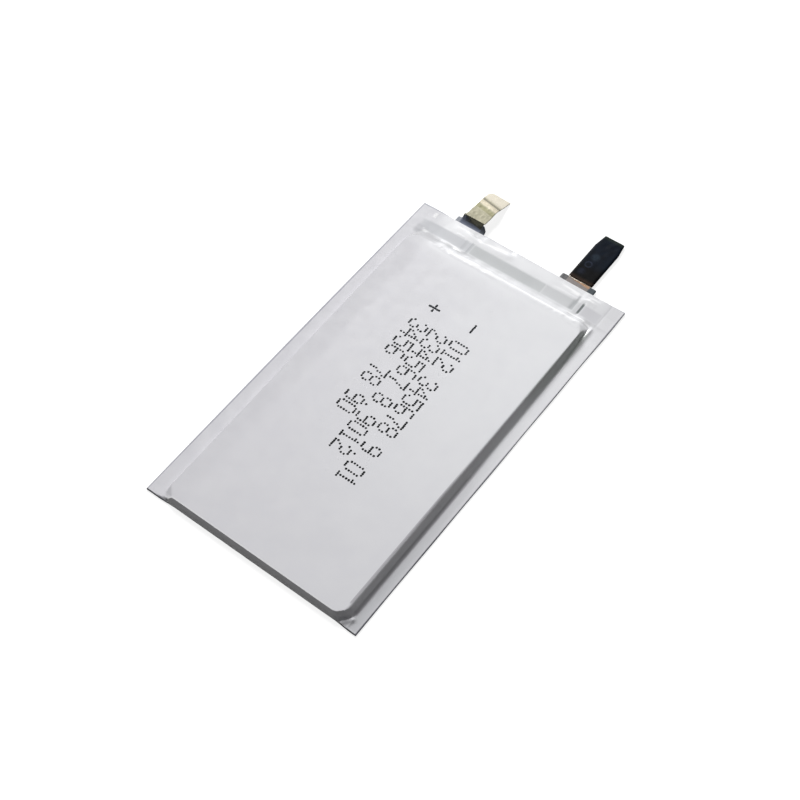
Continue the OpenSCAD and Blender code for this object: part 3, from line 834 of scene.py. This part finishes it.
# Tones of the film in places, most of them painted shade or painted highlights: start, full, last and end
# along X and then along Y, the colour and its strength. A side at 98 or beyond is open
FILM_TONES = [
    # painted shade on the right flange, painted light on the bottom wall, painted shade on the right wall's
    # upper end, and two dark lines of painted shade along the right wall
    (13.2, 13.6, 98, 99, -99, -98, -20, 4, (0.63, 0.635, 0.66), 1),
    (-12.6, -11.6, 11, 12, -99, -98, -24.5, -24.32, (0.88, 0.88, 0.9), 1),
    (12.2, 12.35, 12.9, 13.2, 5, 13, 19.5, 20.3, (0.68, 0.71, 0.695), 1),
    (13, 13.2, 13.4, 13.6, -23.6, -23, -8, 4, (0.5, 0.49, 0.52), 1),
    (12.2, 12.3, 12.42, 12.52, -23, -22.6, -8, 0, (0.5, 0.49, 0.52), 1),
    # painted shade on the slope down to the channel, and two painted highlights on its foot's ridge
    (-9.5, -8, 12, 12.6, 20.45, 20.8, 21.3, 21.6, cool(0.72), 1),
    (-1.5, 0.5, 12, 12.6, 20.45, 20.55, 20.85, 21.05, cool(0.73), 1),
    (-5, -4, 12, 12.6, 20.85, 21.05, 21.5, 21.62, cool(0.785), 1),
    (9, 9.6, 11.4, 11.8, 20.98, 21.06, 21.16, 21.26, (0.97, 0.97, 0.98), 0.8),
    (11.2, 11.6, 12.2, 12.6, 20.75, 20.85, 21.00, 21.12, (0.97, 0.97, 0.98), 0.7),
    (-13.4, -12.6, -9.5, -8.5, 20.3, 20.8, 21.3, 21.6, cool(0.66), 1),
    # painted shade in the channel, in the dark folds across it and along the side seal's line, and a darker
    # patch beside the channel's corner
    (-5.9, -5.3, 4.8, 5.2, *CHANNEL_Y, (0.575, 0.59, 0.6), 1),
    (-13.5, -12.9, -5.9, -5.3, *CHANNEL_Y, (0.6, 0.61, 0.635), 1),
    (4.8, 5.2, 9.6, 10.4, *CHANNEL_Y, (0.65, 0.66, 0.675), 1),
    (9.6, 10.4, 12.6, 13, *CHANNEL_Y, (0.72, 0.72, 0.75), 1),
    (-13.6, -13.1, -12.7, -12.3, 20.5, 21, 21.8, 22.2, (0.56, 0.565, 0.59), 1),
    (-6.95, -6.7, -6.45, -6.25, 21.4, 21.8, 23, 23.25, CREASE_SHADE, 0.22),
    (-5.98, -5.85, -5.62, -5.48, 21.1, 21.6, 23, 23.25, CREASE_SHADE, 0.42),
    (8.65, 9.15, 9.38, 9.5, 21.5, 21.8, 22.6, 23.5, CREASE_SHADE, 0.55),
    (9.02, 9.22, 9.32, 9.44, 22.4, 23.2, 23.6, 24.2, CREASE_SHADE, 0.5),
    (10.02, 10.16, 10.32, 10.46, 21.3, 21.8, 22.9, 23.4, (0.17, 0.19, 0.19), 1),
    (12.85, 12.98, 13.04, 13.15, 21, 22, 98, 99, CREASE_SHADE, 0.18),
    (12.85, 12.98, 13.04, 13.15, 19.7, 20, 20.6, 21, CREASE_SHADE, 0.4),
    # painted shade along the second fold under the positive tab, and painted highlights on that fold and
    # near the header's left end
    (-10.5, -10.1, -6.6, -6, 20.86, 20.97, 21.05, 21.16, CREASE_SHADE, 0.25),
    (-8.9, -8.3, -7.4, -7, 21.24, 21.34, 21.48, 21.6, PAINTED_HIGHLIGHT, 0.6),
    (-7.6, -7.1, -6.5, -6.1, 21.08, 21.18, 21.34, 21.46, PAINTED_HIGHLIGHT, 0.9),
    (-12.8, -12.35, -12.18, -11.98, 23.6, 23.9, 24.4, 24.65, PAINTED_HIGHLIGHT, 0.9),
    (-12.45, -12.1, -11.75, -11.35, 21.15, 21.36, 21.5, 21.75, PAINTED_HIGHLIGHT, 0.7),
    # painted highlights along the drawn shoulder
    (-7.9, -7.3, -1, 0.5, 19.88, 20, 20.22, 20.36, PAINTED_HIGHLIGHT, 0.9),
    (-5, -4.4, -3.4, -2.8, 19.8, 19.95, 20.45, 20.75, PAINTED_HIGHLIGHT, 0.9),
    (-0.5, 0.5, 9.8, 10.8, 20.12, 20.22, 20.34, 20.46, (0.95, 0.95, 0.96), 0.8),
    # painted highlights on the seal band's folds, and painted shade on two duller places
    (-5, -4, -3, -2.4, 23.8, 23.95, 24.12, 24.32, PAINTED_HIGHLIGHT, 1),
    (-3.8, -2.8, -1.8, -1.2, 23.88, 24.02, 24.48, 24.7, PAINTED_HIGHLIGHT, 1),
    (-11.6, -10.4, -9.7, -8.9, 23.1, 23.4, 98, 99, cool(0.8), 0.9),
    (-7, -6.3, -5.3, -4.95, 23.95, 24.15, 98, 99, cool(0.7), 0.9),
    (6.3, 7, 8.8, 9.1, 23.92, 24.04, 24.16, 24.28, PAINTED_HIGHLIGHT, 1),
    (7.6, 8.3, 8.8, 9.1, 23.6, 23.75, 24.1, 24.28, PAINTED_HIGHLIGHT, 1),
    (9.9, 10.2, 10.9, 11.1, 23.8, 23.9, 24.02, 24.12, PAINTED_HIGHLIGHT, 1),
    (10.45, 10.7, 11, 11.25, 24.28, 24.38, 24.5, 24.62, PAINTED_HIGHLIGHT, 1),
    # painted shade at the left wall's foot and the bottom wall's left end; the cut edges in their own
    # darker colour, darker still as painted shade on the right edge and at the fold's ends
    (-13.6, -12.7, -12.1, -11.8, -99, -98, -24.92, -24.78, (0.16, 0.16, 0.18), 1),
    (-12.9, -12.2, -12, -11.7, -99, -98, -24.76, -24.58, (0.2, 0.2, 0.21), 1),
    (-13.25, -13.12, -13.06, -12.95, -12, 0, 12, 17, (0.58, 0.58, 0.61), 0.5),
    (-99, -98, -HALF_W + 0.05, -HALF_W + 0.16, *ALL, (0.46, 0.46, 0.51), 1),
    (HALF_W - 0.17, HALF_W - 0.08, 98, 99, *ALL, (0.25, 0.25, 0.28), 1),
    (HALF_W - 0.19, HALF_W - 0.08, 98, 99, -99, -98, -14, 8, (0.1, 0.1, 0.12), 1),
    (-99, -98, -11.8, -11.3, -99, -98, FOLD_Y, FOLD_Y + 0.07, (0.1, 0.1, 0.115), 1),
    (11.6, 12.1, 98, 99, -99, -98, FOLD_Y, FOLD_Y + 0.07, (0.08, 0.08, 0.09), 1),
    (*ALL, TOP_Y - 0.18, TOP_Y - 0.08, 98, 99, (0.5, 0.51, 0.56), 1),
]


def film_colour(f):
    """Nylon over aluminium, with painted light: lighter to the upper right as a painted pool of light,
    lightest on the header as a painted sheen, and painted shade and painted highlights in places.
    """
    mottle = f.spread(f.noise(2.6, 3.0))
    plain = f.mix(mottle, *FACE_COLOURS)
    # painted light: the face turns to its lighter copy towards the upper right, a little less on the right
    # flange
    bright = f.mix(mottle, *LIT_FACE_COLOURS)
    lit_upward = f.between(f.along("Y", -24.0, 12.0), 0.4, 1.0)
    flange = f.between(f.along("X", 14.2, 12.8), 0.9, 1.0)
    lit_rightward = f.times(f.along("X", -15.0, 13.0), flange)
    face = f.mix(f.times(lit_upward, lit_rightward), plain, bright)
    middle = f.band(f.xyz["X"], -13.0, -9.5, 11.5, 13.2)
    # painted shade: the header's ends are darker
    corner = f.mix(f.along("X", 10.0, 13.5), *HEADER_END_SHADES)
    # painted sheen: the header is lighter than the face
    header = f.mix(middle, corner, HEADER_SHEEN_COLOUR)
    colour = f.mix(f.along("Y", 17.0, 22.0), face, header)
    for *edges, tone, strength in FILM_TONES:
        colour = f.mix(f.times(f.patch(*edges), strength), colour, tone)
    # painted shade where the film's left side faces the lamp
    return f.mix(lamp_facing_shade_share(f), colour, LAMP_FACING_SHADE)


def lamp_facing_shade_share(f):
    """Share of painted shade on the film's left side, more where its slopes face the lamp more than the
    flat face does.
    """
    slope = f.add("NewGeometry")["Normal"]
    towards = f.add("VectorMath", {0: slope, 1: KEY_DIRECTION}, operation="DOT_PRODUCT")["Value"]
    facing = f.maths("MAXIMUM", towards, LAMP_FACING_SHADE_LEAST)
    steep = f.maths("SUBTRACT", LAMP_FACING_SHADE_TOP, f.maths("DIVIDE", LAMP_FACING_SHADE_FALL, facing), use_clamp=True)
    return f.times(steep, f.along("X", -8.6, -10.2))


def laminate():
    """Satin film, finely grained, and glossier where it was hot-pressed or drawn."""
    f = Finish("laminate")
    pressed = f.times(f.along("Y", SHOULDER_Y - 0.9, SHOULDER_Y + 0.1), f.along("X", -11.0, -8.8))
    drawn = f.times(pressed, f.along("Y", FOOT_Y1 + 0.4, FOOT_Y1 - 0.4))
    rough = f.between(drawn, f.between(pressed, 0.52, 0.22), 0.2)
    rough = f.between(f.patch(-1.5, 0.5, 98, 99, 18.8, 19.6, 21.0, 21.4), rough, 0.3)
    rough = f.between(f.patch(*ALL, *CHANNEL_Y), rough, 0.42)
    left = f.times(f.along("X", -9.5, -11.0), f.along("Y", -24.5, -23.9))
    rough = f.between(left, rough, 0.7)
    uneven = f.spread(f.noise(1.4), 0.85, 1.15)
    return f.build(film_colour(f), f.times(rough, uneven), f.noise(0.12), 0.0008, Metallic=0.02,
                   Specular_IOR_Level=0.13, Coat_Weight=0.03, Coat_Roughness=0.15)


def grained(name, a, b, size, stretch, depth, rough, metallic=0.0):
    """A finish whose colour, roughness and bump follow one fine grain."""
    f = Finish(name)
    grain = f.noise(size, 3.0, stretch)
    colour = f.mix(f.spread(grain), a, b)
    return f.build(colour, f.spread(grain, *rough), grain, depth, Metallic=metallic)


def ink():
    """Quick-dry ink, thinner and greyer towards the tabs."""
    f = Finish("ink")
    dark = f.mix(f.along("Y", -4.0, 14.0), (0.004, 0.0045, 0.005), (0.042, 0.047, 0.053))
    worn = f.mix(f.spread(f.noise(0.25)), dark, (0.014, 0.016, 0.018))
    rough = f.spread(f.noise(0.2), 0.5, 0.75)
    return f.build(worn, rough, Specular_IOR_Level=0.05)


def nickel_strip_finish():
    """Warm nickel, with painted light: a bright tip and a bright arc painted as highlights, and a dark
    crease and a dull band painted as shade.
    """
    f = Finish("nickel_strip")
    rolled = f.spread(f.noise(0.5, 3.0, (1, 0.25, 1)))
    colour = f.mix(rolled, (0.268, 0.256, 0.187), (0.312, 0.295, 0.22))
    crease_y = STRIP_START_Y + CREASE_AT + CREASE_SLANT * middle_x("positive_sealant_back")
    slanted = f.maths("MULTIPLY_ADD", f.xyz["X"], CREASE_SLANT, f.xyz["Y"])
    past_crease = f.maths("SUBTRACT", slanted, crease_y)
    # painted light across the strip: shade in a dull band, a highlight on the arc, shade in the crease and
    # a highlight on the tip
    painted_light_bands = [
        # start, full, last, end, colour
        (-1.75, -1.55, -1.2, -1.0, (0.235, 0.225, 0.14)),
        (-1.05, -0.85, -0.35, -0.2, (0.44, 0.4, 0.31)),
        (-0.25, -0.12, -0.02, 0.12, (0.2, 0.185, 0.15)),
        (0.05, 0.4, 9.0, 9.5, (0.545, 0.51, 0.43)),
    ]
    for *edges, tone in painted_light_bands:
        colour = f.mix(f.band(past_crease, *edges), colour, tone)
    left = box_mm("positive_lead")[0][0]
    near_left = f.step(f.along("X", left + 0.45, left + 0.1), 0, 1)
    greyed = f.mix(near_left, colour, (0.36, 0.36, 0.34))
    rough = f.spread(f.noise(0.4), 0.55, 0.65)
    scratches = f.noise(0.3, 3.0, (1, 0.2, 1))
    return f.build(greyed, rough, scratches, 0.003, Metallic=0.3, Specular_IOR_Level=0.1)


def positive_lead_finish():
    """Bare aluminium, darkened on its riser below the weld with painted shade."""
    f = Finish("positive_lead")
    rolled = f.mix(f.spread(f.noise(0.4)), (0.37, 0.41, 0.5), (0.45, 0.5, 0.58))
    # painted shade on the riser
    shaded_riser = f.mix(f.along("Z", 0.28, 0.6), rolled, (0.062, 0.06, 0.04))
    past_riser = f.mix(f.along("Y", 26.2, 26.6), shaded_riser, (0.55, 0.55, 0.55))
    return f.build(past_riser, f.spread(f.noise(0.3), 0.35, 0.5), f.noise(0.3), 0.003, Metallic=0.6)


def sealant_finish(pole, over_lead, left_end, right_end, edge_tint_and_shade):
    """Thin milky polypropylene: the lead under it shows through. Its ends' dark greys are partly painted
    shade, and the positive one's dark olive outer edge is painted shade.
    """
    f = Finish(pole + "_sealant")
    centre, half = middle_x(pole + "_sealant_back"), STRIP_W / 2
    left, right = centre - half, centre + half
    inside = f.band(f.xyz["X"], left - 0.1, left + 0.1, right - 0.1, right + 0.1)
    uneven = f.maths("MULTIPLY_ADD", f.noise(1.2), 0.7, -0.35)
    level = f.maths("ADD", f.along("Y", TOP_Y + 0.25, TOP_Y + 0.7), uneven)
    reach = f.maths("MULTIPLY_ADD", f.along("X", centre - 0.3, right), 0.28, level)
    fading = f.between(f.along("X", centre - 1.3, centre - 0.1), 0.25, 1.0)
    end = f.times(f.times(inside, fading), f.step(reach, 0.3, 0.7))
    # partly painted shade: the dark greys beside the lead
    beside = f.mix(f.along("X", centre - 0.5, centre + 0.5), left_end, right_end)
    edge_darker = tuple(0.38 * c for c in edge_tint_and_shade)
    # the outer edge's colour, which on the positive sealant is painted shade
    edge_tinted_and_shaded = f.mix(f.along("X", left, centre + 0.9), edge_darker, edge_tint_and_shade)
    colour = f.mix(end, f.mix(inside, beside, over_lead), edge_tinted_and_shaded)
    rough = f.spread(f.noise(0.3), 0.42, 0.55)
    return f.build(colour, rough, f.noise(0.25), 0.004, Specular_IOR_Level=0.12)


def sleeve_finish():
    """Black shrink tube, darker towards its root, with a faint lighter ring and spots, a brown band at its
    root and a greenish band at its far end.
    """
    f = Finish("sleeve")
    flat = f.add("VectorMath", {0: f.place, 1: (1, 1, 0)}, operation="MULTIPLY")["Vector"]

    def distance_from(x, y):
        return f.add("VectorMath", {0: flat, 1: (x, y, 0)}, operation="DISTANCE")["Value"]

    colour = f.mix(f.spread(f.noise(0.8, 4.0)), (0.0018, 0.0036, 0.007), (0.0035, 0.0075, 0.0155))
    colour = f.mix(f.along("Y", 29.2, 27.4), colour, (0.0008, 0.0009, 0.0012))
    ring = f.band(distance_from(7.3, 28.4), 0.27, 0.38, 0.42, 0.55)
    colour = f.mix(f.times(ring, f.noise(0.5)), colour, (0.034, 0.042, 0.07))
    lighter_spots = [
        # x, y, reach, size of the noise, colour
        (7.45, 29.75, 0.75, 0.35, (0.034, 0.05, 0.07)),
        (7.15, 27.1, 0.7, 0.3, (0.018, 0.022, 0.038)),
    ]
    for x, y, reach, size, tone in lighter_spots:
        share = f.times(f.step(distance_from(x, y), reach, 0.2), f.noise(size, 3.0))
        colour = f.mix(share, colour, tone)
    colour = f.mix(f.along("Y", 26.5, 25.85), colour, (0.034, 0.021, 0.015))
    colour = f.mix(f.along("Y", 32.6, 33.25), colour, (0.022, 0.032, 0.027))
    rough = f.spread(f.noise(0.6, 3.0), 0.38, 0.55)
    return f.build(colour, rough, f.noise(0.22, 3.0), 0.004, Specular_IOR_Level=0.03)


# ---- Putting the object together ----


def dress_cell():
    film = laminate()
    add_piece(formed_film_mesh(), film, ["front_film"])
    add_piece(back_film_mesh(), film, ["back_film"])
    add_piece(ink_mesh(), ink())
    positive = lead_mesh("bent_positive_lead", "positive", 0.25)
    add_piece(positive, positive_lead_finish(), ["positive_lead"])
    add_piece(nickel_strip_mesh(), nickel_strip_finish(), ["positive_nickel_strip"])
    nickel = grained("nickel", (0.55, 0.5, 0.42), (0.64, 0.58, 0.49), 0.4, (1, 0.2, 1), 0.003, (0.28, 0.4),
                     0.95)
    add_piece(lead_mesh("flat_negative_lead", "negative", 0.4), nickel, ["negative_lead"])


# Each sealant's colours: over the lead, at its left and right ends and along its outer edge. The ends' dark
# greys are partly painted shade, and the positive one's outer edge is painted shade of the riser
SEALANT_COLOURS = {
    "positive": ((0.16, 0.18, 0.24), (0.243, 0.257, 0.29), (0.09, 0.1, 0.12), (0.078, 0.077, 0.06)),
    "negative": ((0.275, 0.247, 0.238), (0.108, 0.108, 0.112), (0.075, 0.09, 0.1), (0.46, 0.28, 0.17)),
}


def dress_sealants():
    for pole, colours in SEALANT_COLOURS.items():
        finish = sealant_finish(pole, *colours)
        for side, sign in (("front", 1), ("back", -1)):
            node = f"{pole}_sealant_{side}"
            add_piece(sealant_mesh(node, sign), finish, [node])


EVEN, ROLLED = (1, 1, 1), (1, 0.15, 1)
STACK_LOOKS = {
    # slot: the grain's two colours, its size, stretch and depth, the roughness, how metallic
    "separator_film": ((0.8, 0.8, 0.79), (0.86, 0.86, 0.85), 0.15, EVEN, 0.001, (0.5, 0.65)),
    "aluminium_foil": ((0.6, 0.6, 0.61), (0.7, 0.7, 0.71), 0.3, ROLLED, 0.001, (0.25, 0.4), 1.0),
    "copper_foil": ((0.66, 0.3, 0.17), (0.78, 0.4, 0.25), 0.3, ROLLED, 0.001, (0.25, 0.4), 1.0),
    "cathode_coating": ((0.015, 0.015, 0.017), (0.03, 0.03, 0.032), 0.1, EVEN, 0.003, (0.6, 0.8)),
    "anode_coating": ((0.035, 0.035, 0.038), (0.06, 0.06, 0.065), 0.1, EVEN, 0.003, (0.5, 0.7)),
    "stack_tape": ((0.62, 0.52, 0.2), (0.7, 0.6, 0.28), 0.5, EVEN, 0.001, (0.3, 0.4)),
    "weld_tape": ((0.55, 0.38, 0.1), (0.65, 0.47, 0.16), 0.5, EVEN, 0.001, (0.3, 0.4)),
}


def dress_stack():
    """Gives each inner CAD node its own fine-grained finish."""
    by_slot = {slot: grained(slot.removesuffix("_film"), *look) for slot, look in STACK_LOOKS.items()}
    for part in frame["record"]["subparts"]:
        if part["material_slot"] in by_slot:
            node = frame["nodes"][part["node"]]
            node.data.materials.clear()
            node.data.materials.append(by_slot[part["material_slot"]])


# ---- Stage, lamps and camera ----

FLOOR_HALF = 2000
FLOOR_BOUNCE = 0.26
FLOOR_GLOW = 0.84
FLOOR_COLOUR = 0.4
AMBIENT = 0.1
WHITE = (1, 1, 1, 1)
KEY_DISTANCE = 0.6
KEY_SIZE = 0.2
KEY_POWER = 4.95


def seen_directly(nodes):
    """1 for what the camera, a reflection or glass sees, and 0 otherwise."""
    rays = nodes.add("LightPath")
    first = nodes.maths("MAXIMUM", rays["Is Camera Ray"], rays["Is Glossy Ray"])
    return nodes.maths("MAXIMUM", first, rays["Is Transmission Ray"])


def floor_finish():
    """Pale floor: it glows white where it is seen, and keeps the object's shadow."""
    made = bpy.data.materials.new("floor")
    nodes = Nodes(made)
    bounce = nodes.add("BsdfDiffuse", {"Color": (FLOOR_BOUNCE,) * 3 + (1,)})[0]
    glow = nodes.add("Emission", {"Color": WHITE, "Strength": FLOOR_GLOW})[0]
    pale = nodes.add("BsdfDiffuse", {"Color": (FLOOR_COLOUR,) * 3 + (1,)})[0]
    shown = nodes.add("AddShader", {0: glow, 1: pale})[0]
    both = nodes.add("MixShader", {0: seen_directly(nodes), 1: bounce, 2: shown})[0]
    nodes.add("OutputMaterial", {"Surface": both})
    return made


def add_floor():
    corners = np.array([(-1, -1, 0), (1, -1, 0), (1, 1, 0), (-1, 1, 0)]) * FLOOR_HALF
    mesh = make_mesh("floor", corners, [(0, 1, 2, 3)])
    mesh.materials.append(floor_finish())
    floor = add_object("floor", mesh)


def add_world():
    world = bpy.data.worlds.new("studio")
    nodes = Nodes(world)
    low = nodes.add("Background", {"Color": WHITE, "Strength": AMBIENT})[0]
    white = nodes.add("Background", {"Color": WHITE, "Strength": 1.0})[0]
    both = nodes.add("MixShader", {0: seen_directly(nodes), 1: low, 2: white})[0]
    nodes.add("OutputWorld", {"Surface": both})
    bpy.context.scene.world = world


def add_key_lamp():
    """One square soft lamp that looks at the object's middle from the upper left."""
    lamp = bpy.data.lights.new("key", "AREA")
    lamp.shape = "SQUARE"
    lamp.size = KEY_SIZE
    lamp.energy = KEY_POWER
    made = add_object("key", lamp)
    direction = Vector(KEY_DIRECTION).normalized()
    made.location = direction * KEY_DISTANCE
    made.rotation_mode = "QUATERNION"
    made.rotation_quaternion = direction.to_track_quat("Z", "Y")


CAMERA_AIM = (3.19, 2.11, 0.5)
CAMERA_DISTANCE = 159.5
CAMERA_AZIMUTH = 41.94
CAMERA_ELEVATION = 56.38
CAMERA_ROLL = -5.44
CAMERA_LENS = 63.81
CAMERA_SHIFT = (-0.03405, -0.00325)


def add_camera():
    """Looks down on the cell from its lower right, a little rolled."""
    camera = bpy.data.cameras.new("camera")
    camera.lens = CAMERA_LENS
    camera.sensor_width = 36.0
    camera.shift_x, camera.shift_y = CAMERA_SHIFT
    camera.clip_start, camera.clip_end = 0.005, 10.0
    made = add_object("camera", camera)
    turns = ((CAMERA_AZIMUTH, "Z"), (90 - CAMERA_ELEVATION, "X"), (CAMERA_ROLL, "Z"))
    spin, tilt, roll = (Matrix.Rotation(math.radians(angle), 4, axis) for angle, axis in turns)
    back_off = Matrix.Translation((0, 0, CAMERA_DISTANCE * MM))
    made.matrix_world = Matrix.Translation(Vector(CAMERA_AIM) * MM) @ spin @ tilt @ roll @ back_off
    bpy.context.scene.camera = made


add_camera()
add_floor()
add_world()
add_key_lamp()
dress_cell()
dress_sealants()
add_piece(sleeve_mesh(), sleeve_finish(), ["negative_sleeve"], "sleeve")
dress_stack()
bpy.context.scene.view_settings.view_transform = "Standard"
